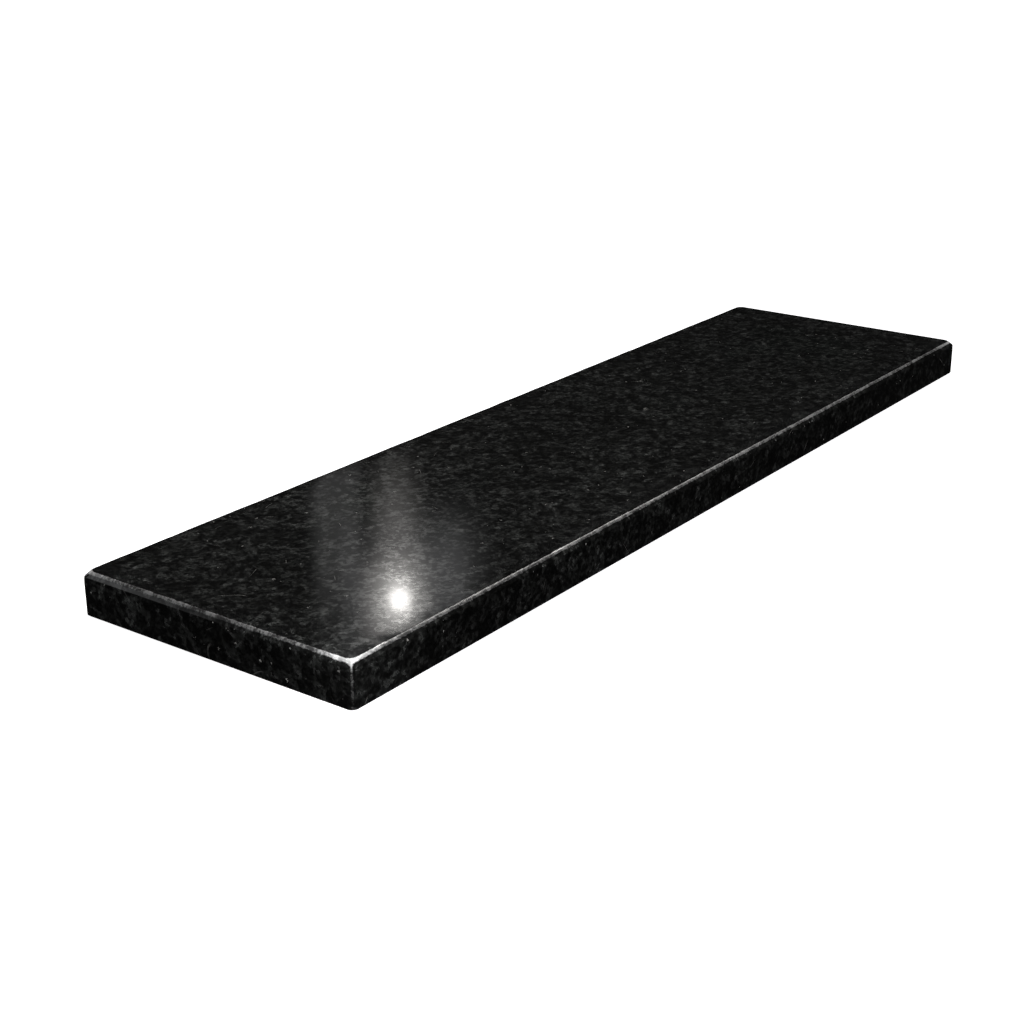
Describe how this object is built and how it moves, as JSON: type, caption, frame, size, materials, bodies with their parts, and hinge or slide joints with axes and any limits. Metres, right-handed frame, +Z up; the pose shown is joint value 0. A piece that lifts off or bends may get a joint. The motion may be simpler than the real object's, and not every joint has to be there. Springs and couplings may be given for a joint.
{
  "type": "granite slab",
  "caption": "Long flat bar of polished black granite with a bevelled top rim, softened corners and a flat sawn underside, used as a solid surface for stamping and tooling leather.",
  "frame": {"origin": "middle of the underside, on the surface that the slab rests on", "axes": "+X along the slab's length, +Y across its width, +Z up, out of the polished working face"},
  "size_m": [0.55, 0.15, 0.02],
  "materials": {
    "black_granite": "polished black granite with fine grey flecks, a lighter ground bevel and a dull sawn underside"
  },
  "bodies": {
    "root": {"granite_slab": "black_granite"}
  },
  "joints": []
}
